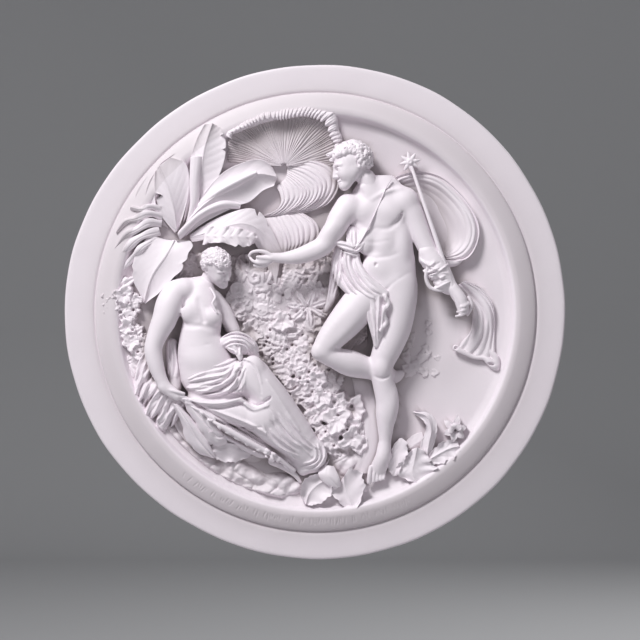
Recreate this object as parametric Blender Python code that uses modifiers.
"""A round marble relief, cut from one slab: a flat border, a raised ring and a sunk field.

The field holds a seated and a standing figure under a fan leaf and palm blades, with a flower bank.
The slab's back lies in the plane Y = 0, its centre is the origin, and the carving faces -Y.
"""

import math
import random

import bmesh
import bpy
from mathutils import Matrix, Vector

# The slab, in metres.
DISC_DIAMETER = 0.700
BORDER_THICKNESS = 0.050
BORDER_WIDTH = 0.041
BORDER_ARRIS = 0.003
RING_WIDTH = 0.031
RING_RISE = 0.010
CREST_SHARE = 0.22
INNER_ARRIS_SHARE = 0.15
GROOVE_WIDTH = 0.004
GROOVE_DEPTH = 0.0025
FIELD_DEPTH = 0.026
FIELD_DISH = 0.014
FIELD_WALL = 0.005
GROUND_BURIED = 0.006

# How far the hand-cut edge wanders from a true circle, as shares of the radius, and the way it leans.
OVAL_SHARE = 0.0065
OVAL_LEAN = math.radians(-13)
TREFOIL_SHARE = 0.0051
TREFOIL_LEAN = math.radians(172)

# The fineness of the solid.
TURNED_STEPS = 96
SWELL_STEPS = 4
GROUND_STEPS = 64
VOXEL = 0.0029
CARVING_FACES = 7500
SOFTENING_ROUNDS = 3
SOFTENING_FACTOR = 0.5
AXIS_MERGE = 0.00001
SCATTER_SEED = 7

DISC_RADIUS = DISC_DIAMETER / 2
GROOVE_RADIUS = DISC_RADIUS - BORDER_WIDTH
FIELD_RADIUS = GROOVE_RADIUS - RING_WIDTH
RING_LEVEL = BORDER_THICKNESS + RING_RISE
GROUND_LEVEL = RING_LEVEL - FIELD_DEPTH

# The carving is drawn on a grid of squares from the field's centre: u right, v up, w out of the ground.
GRID_SQUARES = 198
BED_DEPTH = 0.002
GRID = FIELD_RADIUS / GRID_SQUARES
ROOT_W = -5
MARBLE_COLOUR = (0.83, 0.79, 0.82, 1.0)
MARBLE_ROUGHNESS = 0.55


def spot(u, v, w):
    """A point of the carving in metres."""
    return Vector((u * GRID, -(GROUND_LEVEL + w * GRID), v * GRID))


def between(low, high, share):
    return low + (high - low) * share


def along(points, share):
    """The place at a share of the way along a smooth curve through the points, whatever each one holds."""
    spans = len(points) - 1
    span = min(int(share * spans), spans - 1)
    t = share * spans - span
    before, start, end, after = (points[max(0, min(spans, span + step))] for step in (-1, 0, 1, 2))
    return tuple(
        0.5 * (2 * b + (c - a) * t + (2 * a - 5 * b + 4 * c - d) * t * t + (3 * b - a - 3 * c + d) * t ** 3)
        for a, b, c, d in zip(before, start, end, after)
    )


def smooth_path(points, steps=3):
    """Evenly shared points along the smooth curve."""
    count = steps * (len(points) - 1)
    return [along(points, step / count) for step in range(count + 1)]


def add(carving, shape):
    """Puts a finished shape among the carving's vertices and faces."""
    vertices, faces = carving
    first = len(vertices)
    shape.verts.index_update()
    vertices.extend(tuple(vertex.co) for vertex in shape.verts)
    faces.extend([first + vertex.index for vertex in face.verts] for face in shape.faces)
    shape.free()


def ball(carving, place, radii, turn=0, sides=12):
    """An ellipsoid: radii across, up and out, turned by an angle in the plane of the slab."""
    across, up, out = (radius * GRID for radius in radii)
    matrix = (
        Matrix.Translation(spot(*place))
        @ Matrix.Rotation(math.radians(-turn), 4, "Y")
        @ Matrix.Diagonal((across, out, up, 1))
    )
    shape = bmesh.new()
    bmesh.ops.create_uvsphere(shape, u_segments=sides, v_segments=sides // 2 + 1, radius=1, matrix=matrix)
    add(carving, shape)


def limb(carving, points, sides=10):
    """A round form along a smooth path of (u, v, w, radius)."""
    path = smooth_path(points)
    for u, v, w, radius in path:
        ball(carving, (u, v, w), (radius, radius, radius), sides=sides)
    for (u, v, w, radius), (u2, v2, w2, radius2) in zip(path, path[1:]):
        start = spot(u, v, w)
        end = spot(u2, v2, w2)
        along = end - start
        turned = along.to_track_quat("Z", "Y").to_matrix().to_4x4()
        shape = bmesh.new()
        bmesh.ops.create_cone(
            shape, cap_ends=True, segments=sides, radius1=radius * GRID, radius2=radius2 * GRID,
            depth=along.length, matrix=Matrix.Translation((start + end) / 2) @ turned,
        )
        add(carving, shape)


def body(carving, sections, sides=18):
    """A rounded form through smooth sections of (u, v, w, half width, half depth)."""
    path = smooth_path(sections, 4)
    shape = bmesh.new()
    rings = []
    for step, (u, v, w, across, out) in enumerate(path):
        before, after = path[max(0, step - 1)], path[min(len(path) - 1, step + 1)]
        lean = math.atan2(after[0] - before[0], before[1] - after[1])
        angles = [math.tau * count / sides for count in range(sides)]
        rings.append([
            shape.verts.new(spot(
                u + across * math.cos(lean) * math.cos(angle),
                v + across * math.sin(lean) * math.cos(angle),
                w + out * math.sin(angle),
            ))
            for angle in angles
        ])
    for ring, following in zip(rings, rings[1:]):
        for count in range(sides):
            after = (count + 1) % sides
            shape.faces.new((ring[count], ring[after], following[after], following[count]))
    shape.faces.new(rings[0])
    shape.faces.new(rings[-1])
    bmesh.ops.recalc_face_normals(shape, faces=shape.faces)
    add(carving, shape)


def slab(carving, surface, columns, rows):
    """A closed block whose front is surface(s, t), for s and t from 0 to 1, and whose root is flat."""
    shape = bmesh.new()
    bmesh.ops.create_grid(shape, x_segments=columns, y_segments=rows, size=0.5)
    for vertex in shape.verts:
        vertex.co = spot(*surface(vertex.co.x + 0.5, vertex.co.y + 0.5))
    front = list(shape.faces)
    root_y = spot(0, 0, ROOT_W).y
    for made in bmesh.ops.extrude_face_region(shape, geom=front)["geom"]:
        if isinstance(made, bmesh.types.BMVert):
            made.co.y = root_y
    bmesh.ops.recalc_face_normals(shape, faces=shape.faces)
    add(carving, shape)


def leaf(carving, one_edge, midrib, other_edge, hollow=0.0, frill=0.0, waves=5):
    """A leaf between two edges, over its midrib: each a smooth curve of (u, v, w) from base to tip."""
    def surface(s, t):
        edge = along(one_edge if s < 0.5 else other_edge, t)
        middle = along(midrib, t)
        side = abs(2 * s - 1)
        u, v, w = (between(a, b, side) for a, b in zip(middle, edge))
        return u, v, w - hollow * side * (1 - side) * 4 + frill * side * math.sin(waves * math.tau * t)

    slab(carving, surface, 8, 14)


def ground(carving):
    """The dished ground of the field, turned about the slab's axis. Its rim is buried in the ring."""
    shape = bmesh.new()
    buried = GRID_SQUARES + GROUND_BURIED / GRID
    points = [
        (GRID_SQUARES * share, FIELD_DISH / GRID * share ** 5)
        for share in (0, 0.4, 0.6, 0.75, 0.86, 0.94, 1)
    ]
    points += [(buried, FIELD_DISH / GRID), (buried, ROOT_W), (0, ROOT_W)]
    corners = [shape.verts.new(spot(radius, 0, height)) for radius, height in points]
    outline = [shape.edges.new(pair) for pair in zip(corners, corners[1:])]
    bmesh.ops.spin(
        shape, geom=corners + outline, cent=(0, 0, 0), axis=(0, 1, 0), angle=math.tau, steps=GROUND_STEPS,
        use_merge=True,
    )
    bmesh.ops.remove_doubles(shape, verts=shape.verts, dist=0.00001)
    bmesh.ops.recalc_face_normals(shape, faces=shape.faces)
    add(carving, shape)


def fan_leaf(carving):
    """The great round leaf behind the figures: ribs, a curled upper lip and two banks of lower gills."""
    heart_u, heart_v = -29, 140
    ribs = 13
    lip_bumps = 13

    def reach(angle):
        lean = math.cos(angle)
        return between(53, 71 if lean > 0 else 72, abs(lean) ** 1.4)

    def upper(s, t):
        angle = math.radians(between(172, 8, s))
        distance = reach(angle) * t
        ridge = 2.6 * t ** 0.7 * abs(math.sin(ribs * angle))
        rise = 3 + 14 * t ** 2.2 + ridge
        return heart_u + distance * math.cos(angle), heart_v + distance * math.sin(angle), rise

    slab(carving, upper, 78, 8)
    for count in range(lip_bumps):
        angle = math.radians(between(146, 47, count / (lip_bumps - 1)))
        distance = reach(angle) + 3
        place = (heart_u + distance * math.cos(angle), heart_v + distance * math.sin(angle), 17)
        ball(carving, place, (4.2, 7, 5), turn=90 - math.degrees(angle), sides=8)
    swellings = (((-10, 117, 0), (28, 18, 5)), ((-26, 97, 0), (22, 14, 4)), ((-18, 76, 0), (18, 15, 4)))
    for place, radii in swellings:
        ball(carving, place, radii)
    for count in range(9):
        q = count / 8
        limb(carving, [
            (between(-28, -24, q), between(136, 144, q), 4, 1.5),
            (between(-30, 9, q), between(128, 147, q), 4.5, 1.6),
            (between(-32, 21, q), between(115, 130, q), 5, 1.7),
            (between(-52, 6, q), between(97, 104, q), 4, 1.4),
        ], sides=6)
    for count in range(6):
        q = count / 5
        limb(carving, [
            (between(-34, -14, q), between(94, 97, q), 4, 1.3),
            (between(-32, 2, q), between(76, 80, q), 4.5, 1.5),
            (between(-26, -18, q), between(62, 64, q), 4, 1.3),
        ], sides=6)


def palm_blades(carving):
    """The broad blades that spring from one crown above the seated figure."""
    leaf(carving, [(-127, 89, 10), (-114, 110, 15), (-101, 131, 18), (-90, 154, 20), (-93, 174, 20)],
         [(-129, 96, 10), (-116, 136, 17), (-111, 164, 21), (-104, 188, 22)],
         [(-133, 89, 12), (-127, 121, 18), (-123, 154, 19), (-113, 175, 20)], hollow=1.5)
    ball(carving, (-90, 164, 4), (12, 18, 9), turn=-20)
    limb(carving, [(-132, 90, 15, 3), (-128, 122, 20, 4), (-124, 151, 21, 4)])
    leaf(carving, [(-138, 81, 12), (-133, 102, 14), (-127, 131, 16), (-126, 153, 19)],
         [(-139, 81, 12), (-144, 99, 18), (-150, 121, 21), (-158, 144, 22)],
         [(-141, 79, 10), (-160, 90, 14), (-180, 107, 18), (-175, 126, 19), (-160, 146, 20)], hollow=2)
    leaf(carving, [(-132, 86, 14), (-114, 115, 18), (-91, 140, 18), (-56, 152, 15), (-42, 144, 11)],
         [(-134, 83, 18), (-109, 109, 24), (-85, 125, 26), (-60, 138, 22), (-40, 139, 12)],
         [(-130, 78, 14), (-108, 95, 18), (-66, 107, 16), (-43, 120, 12), (-38, 134, 10)], hollow=4)
    strands = [
        [(-156, 100, 12, 4), (-169, 105, 15, 4), (-180, 102, 16, 3)],
        [(-156, 95, 12, 4), (-175, 97, 16, 4), (-186, 91, 16, 4), (-196, 83, 15, 3)],
        [(-158, 89, 12, 4), (-173, 86, 16, 4), (-186, 74, 16, 4), (-199, 65, 14, 3)],
        [(-160, 83, 12, 4), (-175, 75, 16, 4), (-190, 62, 15, 4), (-203, 49, 13, 3)],
        [(-164, 76, 12, 4), (-175, 65, 14, 4), (-186, 51, 13, 4), (-192, 42, 12, 3)],
    ]
    for strand in strands:
        limb(carving, strand, sides=8)
    ball(carving, (-176, 79, 6), (24, 20, 7), turn=-35)
    leaf(carving, [(-144, 72, 12), (-169, 73, 15), (-182, 49, 17), (-182, 32, 16), (-172, 9, 13)],
         [(-141, 72, 15), (-150, 56, 18), (-164, 35, 17), (-172, 9, 13)],
         [(-139, 71, 18), (-124, 66, 23), (-130, 49, 23), (-148, 27, 20), (-171, 8, 14)], hollow=2)
    leaf(carving,
         [(-126, 77, 12), (-104, 91, 16), (-76, 102, 18), (-54, 99, 17), (-43, 87, 14), (-28, 60, 8)],
         [(-126, 74, 13), (-100, 82, 20), (-76, 88, 22), (-58, 86, 19), (-44, 74, 13), (-30, 50, 7)],
         [(-124, 70, 12), (-100, 74, 18), (-76, 77, 20), (-62, 74, 16), (-48, 60, 9), (-32, 24, 5)])
    leaf(carving, [(-111, 83, 20), (-94, 82, 25), (-76, 82, 25), (-60, 80, 20)],
         [(-113, 74, 22), (-96, 73, 27), (-76, 74, 27), (-56, 75, 20)],
         [(-115, 66, 22), (-96, 69, 28), (-74, 65, 27), (-60, 71, 20)], frill=1.2, waves=3)


def seated_figure(carving):
    """The seated one, with a bowed head, leans on one arm. Cloth wraps the lap and legs."""
    body(carving, [(-114, 20, 18, 12, 10), (-113, 6, 18, 17, 14), (-113, -10, 18, 18, 16),
                   (-116, -26, 18, 21, 17), (-113, -42, 18, 26, 18), (-108, -60, 18, 28, 19)])
    ball(carving, (-126, -1, 26), (10, 11, 9))
    ball(carving, (-103, -5, 26), (10.5, 10, 9))
    limb(carving, [(-117, 18, 20, 10), (-108, 32, 23, 8)])
    ball(carving, (-97, 50, 25), (16, 12.5, 14), turn=10)
    ball(carving, (-95, 37, 26), (11, 13, 11), turn=-18)
    ball(carving, (-119, 42, 20), (8, 6, 7))
    limb(carving, [(-138, 19, 21, 12), (-148, 4, 24, 12.5), (-156, -18, 27, 10), (-161, -36, 28, 8.8),
                   (-159, -52, 29, 8), (-154, -65, 29, 6.5), (-148, -77, 29, 5)])
    limb(carving, [(-147, -79, 29, 5), (-139, -86, 29, 4.5), (-126, -91, 28, 2.5)])
    limb(carving, [(-101, 12, 15, 10), (-87, -6, 13, 9), (-78, -24, 13, 7)])
    lap = [
        [(-112, -68, 18, 22), (-84, -66, 21, 20), (-61, -64, 24, 18)],
        [(-60, -66, 24, 18), (-42, -88, 20, 18), (-18, -120, 15, 14), (0, -144, 11, 9)],
        [(-110, -90, 20, 18), (-80, -98, 24, 16), (-54, -108, 24, 15)],
        [(-54, -108, 24, 15), (-28, -130, 18, 12), (-6, -150, 11, 8)],
    ]
    for form in lap:
        limb(carving, form, sides=14)


def seated_drapery(carving):
    """Cloth knotted at the seated one's side, swept over the lap, and fallen in folds on the ground."""
    for count in range(5):
        q = count / 4
        limb(carving, [
            (-76, -47, between(36, 32, q), 2),
            (between(-102, -82, q), between(-53, -72, q), 39, 2.6),
            (between(-132, -120, q), between(-62, -84, q), between(36, 38, q), 2),
        ], sides=8)
    limb(carving, [(-88, -33, 24, 5), (-78, -26, 26, 6), (-66, -33, 20, 6), (-63, -44, 14, 4)])
    limb(carving, [(-84, -41, 28, 4), (-73, -40, 26, 4)])
    for count in range(4):
        q = count / 3
        limb(carving, [
            (between(-127, -134, q), between(-90, -92, q), 28, 2),
            (between(-95, -108, q), between(-104, -122, q), between(30, 16, q), 3),
            (between(-62, -68, q), between(-115, -140, q), between(30, 12, q), 2.4),
        ], sides=8)
    ball(carving, (-164, -90, 3), (22, 17, 8))
    ball(carving, (-94, -126, 0), (52, 22, 10), turn=-28, sides=16)
    limb(carving, [(-111, -103, 12, 14), (-66, -124, 13, 13), (-16, -150, 8, 8)])
    for count in range(5):
        q = count / 4
        limb(carving, [
            (between(-168, -142, q), between(-62, -90, q), 15, 3),
            (between(-178, -152, q), between(-84, -108, q), 12, 4),
            (between(-184, -158, q), between(-98, -116, q), 8, 3),
        ], sides=8)
    limb(carving, [(-144, -33, 14, 6), (-142, -56, 14, 7), (-140, -73, 14, 6)])
    leaf(carving, [(-150, -90, 8), (-140, -116, 10), (-124, -136, 8), (-94, -151, 6)],
         [(-140, -88, 14), (-124, -112, 16), (-102, -132, 14), (-66, -146, 8)],
         [(-126, -90, 16), (-104, -110, 20), (-78, -126, 18), (-44, -142, 10)], frill=1.5, waves=3)
    limb(carving, [(-130, -92, 26, 2.4), (-90, -114, 25, 2.6), (-44, -140, 18, 2.8), (-24, -154, 12, 2.4)])
    for drop in (0, 9):
        limb(carving, [
            (6, -133 - drop, 8, 3), (6, -144 - drop, 11, 3.4), (-10, -154 - drop, 10, 3.2),
            (-26, -156 - drop, 8, 2.5),
        ])


def standing_figure(carving):
    """The standing one leans forward, an arm held out, on one leg with the other knee bent."""
    body(carving, [(64, 126, 14, 15, 8), (62, 114, 16, 28, 12), (62, 100, 17, 32, 15), (65, 84, 17, 29, 15),
                   (70, 66, 17, 27, 14.5), (73, 48, 17, 26, 15), (71, 32, 17, 30, 16), (67, 16, 17, 32, 16)])
    ball(carving, (47, 100, 25), (13, 11, 8))
    ball(carving, (72, 99, 25), (15, 12, 8))
    limb(carving, [(48, 132, 23, 9.5), (53, 113, 18, 12)])
    ball(carving, (38, 154, 25), (20, 14, 15), turn=24)
    ball(carving, (34, 138, 26), (11, 17, 12), turn=-18)
    limb(carving, [(31, 104, 21, 13), (19, 83, 25, 10.8), (6, 64, 28, 9.8), (-13, 55, 31, 9),
                   (-32, 50, 33, 6.4), (-45, 51, 34, 4.8)], sides=12)
    ball(carving, (-54, 54, 34), (8, 5, 4.5))
    limb(carving, [(-50, 60, 34, 2), (-59, 62, 34, 2), (-65, 56, 33, 2)])
    limb(carving, [(87, 110, 16, 14), (94, 106, 17, 13.5), (101, 86, 17, 11), (111, 62, 20, 9.2),
                   (124, 44, 22, 8), (135, 24, 25, 6), (141, 12, 26, 5.5)], sides=12)
    limb(carving, [(81, 16, 17, 20), (79, -16, 17, 16.8), (71, -41, 18, 14), (66, -56, 19, 11.8),
                   (69, -76, 17, 11.2), (70, -93, 16, 11), (68, -116, 15, 8), (67, -136, 15, 6.2)], sides=14)
    limb(carving, [(68, -138, 15, 6.2), (65, -152, 15, 7), (59, -166, 14, 5)])
    ball(carving, (59, -166, 12), (8, 4, 4))
    limb(carving, [(51, 16, 19, 20), (31, -8, 24, 18), (12, -29, 29, 13), (4, -38, 30, 10.6)], sides=14)
    limb(carving, [(6, -40, 29, 10.4), (20, -46, 26, 11), (36, -50, 21, 11.8), (54, -55, 16, 10.8),
                   (70, -60, 11, 9)], sides=12)
    limb(carving, [(72, -61, 8, 7), (84, -66, 5, 6)])


def standing_drapery(carving):
    """A sash at the hips, a cape that billows behind, and its end wound on the arm and fluttering."""
    leaf(carving, [(26, 69, 24), (19, 50, 20), (26, 28, 24), (46, 10, 30)],
         [(31, 66, 30), (27, 48, 27), (37, 32, 31), (58, 16, 35)],
         [(46, 62, 30), (44, 48, 30), (55, 36, 34), (71, 22, 34)], frill=1.5, waves=2)
    leaf(carving, [(45, 12, 28), (50, -10, 30), (58, -35, 28)],
         [(56, 14, 36), (58, -10, 37), (61, -35, 31)],
         [(70, 18, 33), (68, -8, 33), (64, -31, 28)])
    limb(carving, [(21, 56, 18, 4), (17, 27, 11, 4), (10, 4, 7, 4)])
    limb(carving, [(22, 69, 27, 3), (34, 65, 29, 4.5), (46, 69, 30, 3.5)])
    leaf(carving, [(72, 131, 8), (96, 140, 8), (120, 136, 9), (142, 120, 10), (159, 96, 11), (163, 75, 11),
                   (155, 56, 10), (134, 48, 7)],
         [(88, 122, 7), (102, 129, 7), (120, 122, 8), (134, 108, 10), (148, 90, 14), (152, 74, 15),
          (146, 62, 13), (130, 56, 7)],
         [(99, 107, 4), (108, 107, 4), (118, 102, 4), (126, 92, 5), (132, 80, 6), (132, 72, 6),
          (130, 64, 6), (122, 60, 6)])
    for count in range(4):
        q = count / 3
        place = (between(110, 130, q), between(52, 27, q), between(21, 24, q))
        ball(carving, place, (11, 5.5, 9), turn=-35, sides=10)
    leaf(carving, [(142, 28, 14), (151, 10, 9), (159, -6, 8), (152, -22, 8), (140, -35, 8)],
         [(148, 28, 17), (162, 12, 13), (170, -6, 13), (167, -24, 13), (162, -41, 10)],
         [(154, 29, 12), (172, 15, 10), (180, -4, 12), (177, -26, 12), (181, -50, 10)], hollow=2)
    limb(carving, [(140, -36, 9, 3.4), (154, -42, 8, 2.4), (168, -46, 9, 2.6), (178, -54, 10, 4.4)])


def wand(carving):
    """The staff on the arm, with an eight-pointed star at its head."""
    limb(carving, [(95, 143, 20, 2.4), (119, 72, 31, 3.3), (145, -2, 31, 3)], sides=8)
    limb(carving, [(96, 140, 10, 4), (104, 116, 12, 5)])
    star_points = 8
    for count in range(star_points):
        angle = math.tau * count / star_points
        tip = (93.5 + 9.5 * math.cos(angle), 150 + 9.5 * math.sin(angle), 18, 1.4)
        limb(carving, [(93.5, 150, 18, 3.4), tip], sides=6)


def flower_bank(carving):
    """Roses, small blossoms and leaves heaped between the figures and down the left side."""
    scatter = random.Random(SCATTER_SEED)
    mound = [(-60, 32, 22), (-54, 6, 26), (-34, 12, 22), (-40, -20, 24), (-20, -14, 22),
             (-30, -44, 20), (-12, -54, 24), (2, -76, 22), (14, -100, 20), (22, -122, 22)]
    for u, v, size in mound:
        ball(carving, (u, v, 0), (size, size, 9))
        for count in range(6):
            angle = scatter.uniform(0, math.tau)
            off = size * scatter.uniform(0.1, 0.75)
            lump = scatter.uniform(3, 5.5)
            height = 9 - 6 * (off / size) ** 2
            place = (u + off * math.cos(angle), v + off * math.sin(angle), height)
            ball(carving, place, (lump, lump * 0.8, 3.4), turn=math.degrees(angle), sides=7)
    blossoms = [(-61, 35, 9, 9), (-79, 22, 9, 9), (-33, -7, 8, 10), (2, -68, 12, 11), (6, -86, 10, 10),
                (22, -113, 12, 12), (34, -126, 12, 11), (19, -128, 10, 11), (-68, -1, 8, 8), (17, 20, 5, 8)]
    blossoms += [(-191, 19, 9, 20), (-206, 15, 8, 21), (-195, 3, 11, 21), (-204, 6, 7, 20),
                 (-188, -14, 9, 17), (-177, -20, 8, 14), (-189, -29, 10, 17), (-177, -35, 8, 13),
                 (-183, -51, 8, 10), (-190, 29, 6, 16)]
    mounds = (((-194, 12, 8), (17, 17, 11)), ((-186, -26, 6), (14, 20, 9)), ((-178, -48, 2), (12, 14, 8)))
    for place, radii in mounds:
        ball(carving, place, radii)
    petals = 5
    for u, v, size, height in blossoms:
        ball(carving, (u, v, height), (size * 0.35, size * 0.35, 3), sides=8)
        for count in range(petals):
            angle = math.tau * count / petals
            place = (u + 0.6 * size * math.cos(angle), v + 0.6 * size * math.sin(angle), height - 1)
            ball(carving, place, (size * 0.42, size * 0.3, 2.6), turn=math.degrees(angle), sides=8)


def ground_plants(carving):
    """Rocks under the figures, and large petals, a lily and leaves along the bottom."""
    rocks = [((-120, -135, 1), (22, 10, 5)), ((-84, -154, 1), (28, 10, 6)), ((-48, -158, 2), (24, 12, 7)),
             ((-26, -172, 2), (18, 9, 7)), ((29, -148, 1), (26, 14, 5)), ((68, -172, 2), (26, 8, 8))]
    for place, radii in rocks:
        ball(carving, place, radii, turn=-20)
    leaf(carving, [(6, -162, 12), (-8, -166, 14), (-16, -178, 14), (-12, -190, 13)],
         [(10, -168, 13), (0, -174, 10), (-8, -182, 11), (-11, -191, 12)],
         [(16, -174, 13), (12, -184, 14), (2, -190, 14), (-10, -192, 13)], hollow=1.5)
    leaf(carving, [(24, -170, 14), (17, -178, 14), (24, -188, 15), (36, -197, 15)],
         [(28, -166, 15), (29, -176, 12), (34, -186, 12), (39, -196, 14)],
         [(34, -156, 16), (44, -162, 16), (47, -176, 17), (42, -195, 15)], hollow=1.5)
    limb(carving, [(8, -156, 14, 6), (16, -165, 15, 7), (22, -172, 16, 5)])
    leaf(carving, [(83, -131, 8), (75, -140, 9), (73, -154, 10), (77, -162, 9)],
         [(85, -132, 10), (82, -142, 8), (80, -153, 8), (78, -162, 9)],
         [(87, -133, 12), (90, -142, 12), (86, -152, 12), (79, -163, 10)])
    leaf(carving, [(102, -136, 12), (88, -148, 11), (83, -158, 12), (96, -169, 12)],
         [(103, -138, 16), (98, -150, 13), (96, -160, 13), (99, -169, 13)],
         [(104, -139, 16), (112, -146, 15), (117, -156, 15), (108, -168, 13)])
    leaf(carving, [(112, -144, 10), (122, -134, 13), (132, -128, 14), (140, -129, 12)],
         [(113, -147, 12), (124, -140, 13), (134, -135, 14), (142, -133, 14)],
         [(115, -152, 12), (126, -148, 14), (134, -143, 15), (142, -136, 14)])
    leaf(carving, [(111, -140, 9), (107, -130, 11), (111, -118, 13), (108, -108, 14), (99, -102, 12)],
         [(113, -140, 10), (114, -130, 13), (116, -118, 15), (111, -106, 15), (99, -100, 12)],
         [(114, -138, 9), (119, -128, 11), (120, -116, 13), (113, -103, 13), (100, -99, 12)])
    limb(carving, [(82, -140, 4, 3), (94, -128, 6, 4), (106, -122, 7, 3)])
    lily_petals = 6
    for count in range(lily_petals):
        angle = math.tau * (count + 0.25) / lily_petals
        place = (140 + 9 * math.cos(angle), -115 + 9 * math.sin(angle), 12)
        ball(carving, place, (7, 4, 4), turn=math.degrees(angle), sides=8)
    limb(carving, [(140, -111, 12, 6), (139, -95, 9, 2)])


def largest_island(mesh_data):
    """Keeps the biggest connected body, so that specks and sealed pockets go."""
    shape = bmesh.new()
    shape.from_mesh(mesh_data)
    unseen = set(shape.verts)
    islands = []
    while unseen:
        border = [unseen.pop()]
        island = set(border)
        while border:
            for edge in border.pop().link_edges:
                for vertex in edge.verts:
                    if vertex in unseen:
                        unseen.discard(vertex)
                        island.add(vertex)
                        border.append(vertex)
        islands.append(island)
    largest = max(islands, key=len)
    specks = [vertex for vertex in shape.verts if vertex not in largest]
    bmesh.ops.delete(shape, geom=specks, context="VERTS")
    shape.to_mesh(mesh_data)
    shape.free()


def evaluated_copy(source, name, collection):
    """The source object with its modifiers applied, as a new object."""
    bpy.context.view_layer.update()
    graph = bpy.context.evaluated_depsgraph_get()
    mesh_data = bpy.data.meshes.new_from_object(source.evaluated_get(graph))
    mesh_data.name = name
    copy = bpy.data.objects.new(name, mesh_data)
    collection.objects.link(copy)
    return copy


def carving_block(helpers):
    """All carved forms fused into one body that reaches into the slab, with few faces."""
    carving = ([], [])
    ground(carving)
    fan_leaf(carving)
    palm_blades(carving)
    flower_bank(carving)
    ground_plants(carving)
    seated_figure(carving)
    seated_drapery(carving)
    standing_figure(carving)
    standing_drapery(carving)
    wand(carving)
    mesh_data = bpy.data.meshes.new("carved_forms")
    vertices, faces = carving
    mesh_data.from_pydata(vertices, [], faces)
    forms = bpy.data.objects.new("carved_forms", mesh_data)
    helpers.objects.link(forms)
    fuse = forms.modifiers.new("Fuse", "REMESH")
    fuse.mode = "VOXEL"
    fuse.voxel_size = VOXEL
    fused = evaluated_copy(forms, "fused_forms", helpers)
    largest_island(fused.data)
    soften = fused.modifiers.new("Soften", "SMOOTH")
    soften.factor = SOFTENING_FACTOR
    soften.iterations = SOFTENING_ROUNDS
    thin = fused.modifiers.new("Thin", "DECIMATE")
    thin.ratio = min(1, CARVING_FACES / (2 * len(fused.data.polygons)))
    block = evaluated_copy(fused, "carving_block", helpers)
    for helper in (forms, fused, block):
        helper.hide_render = True
        helper.display_type = "WIRE"
    return block


def slab_profile():
    """The turned outline as (radius, height above the back), from the front's centre out and round."""
    ring_crest = FIELD_RADIUS + RING_WIDTH * CREST_SHARE
    groove_out = GROOVE_RADIUS + GROOVE_WIDTH / 2
    groove_in = GROOVE_RADIUS - GROOVE_WIDTH / 2
    wall_foot = FIELD_RADIUS - FIELD_WALL
    bed = GROUND_LEVEL - BED_DEPTH
    swell = []
    for step in range(SWELL_STEPS + 1):
        angle = math.radians(90) * step / SWELL_STEPS
        radius = ring_crest + (groove_in - ring_crest) * math.sin(angle)
        height = BORDER_THICKNESS - GROOVE_DEPTH + (RING_RISE + GROOVE_DEPTH) * math.cos(angle)
        swell.append((radius, height))
    return [
        (0, bed),
        (wall_foot, bed),
        (FIELD_RADIUS, RING_LEVEL - RING_RISE * INNER_ARRIS_SHARE),
        *swell,
        (groove_out, BORDER_THICKNESS),
        (DISC_RADIUS - BORDER_ARRIS, BORDER_THICKNESS),
        (DISC_RADIUS, BORDER_THICKNESS - BORDER_ARRIS),
        (DISC_RADIUS, BORDER_ARRIS),
        (DISC_RADIUS - BORDER_ARRIS, 0),
        (0, 0),
    ]


def hand_cut(vertex):
    """Shifts a point of the true disc to the slightly uneven outline."""
    angle = math.atan2(vertex.co.z, vertex.co.x)
    wander = OVAL_SHARE * math.cos(2 * angle + OVAL_LEAN)
    wander += TREFOIL_SHARE * math.cos(3 * angle + TREFOIL_LEAN)
    radius = math.hypot(vertex.co.x, vertex.co.z)
    share = max(0, min(1, (radius - GROOVE_RADIUS + RING_WIDTH) / (DISC_RADIUS - GROOVE_RADIUS)))
    vertex.co.x *= 1 + wander * share
    vertex.co.z *= 1 + wander * share


def turned_disc(helpers):
    """The slab before the figures are cut: border, groove, ring and dished field."""
    outline = bmesh.new()
    points = [outline.verts.new((radius, -height, 0)) for radius, height in slab_profile()]
    for start, end in zip(points, points[1:]):
        outline.edges.new((start, end))
    mesh_data = bpy.data.meshes.new("disc_outline")
    outline.to_mesh(mesh_data)
    outline.free()
    turned = bpy.data.objects.new("disc_outline", mesh_data)
    helpers.objects.link(turned)
    turned.hide_render = True
    turned.display_type = "WIRE"
    screw = turned.modifiers.new("Turn", "SCREW")
    screw.axis = "Y"
    screw.steps = TURNED_STEPS
    screw.render_steps = TURNED_STEPS
    screw.use_merge_vertices = True
    screw.merge_threshold = AXIS_MERGE
    screw.use_normal_calculate = True
    return turned


def marble():
    material = bpy.data.materials.new("marble")
    material.use_nodes = True
    shader = material.node_tree.nodes["Principled BSDF"]
    shader.inputs["Base Color"].default_value = MARBLE_COLOUR
    shader.inputs["Roughness"].default_value = MARBLE_ROUGHNESS
    shader.inputs["Metallic"].default_value = 0.0
    return material


def main():
    for existing in list(bpy.data.objects):
        bpy.data.objects.remove(existing)
    parts = bpy.data.collections.new("relief_roundel")
    helpers = bpy.data.collections.new("helpers")
    for collection in (parts, helpers):
        bpy.context.scene.collection.children.link(collection)
    block = carving_block(helpers)
    roundel = evaluated_copy(turned_disc(helpers), "roundel", parts)
    shape = bmesh.new()
    shape.from_mesh(roundel.data)
    for vertex in shape.verts:
        hand_cut(vertex)
    bmesh.ops.recalc_face_normals(shape, faces=shape.faces)
    shape.to_mesh(roundel.data)
    shape.free()
    join = roundel.modifiers.new("Carve", "BOOLEAN")
    join.operation = "UNION"
    join.object = block
    roundel.data.materials.clear()
    roundel.data.materials.append(marble())


main()
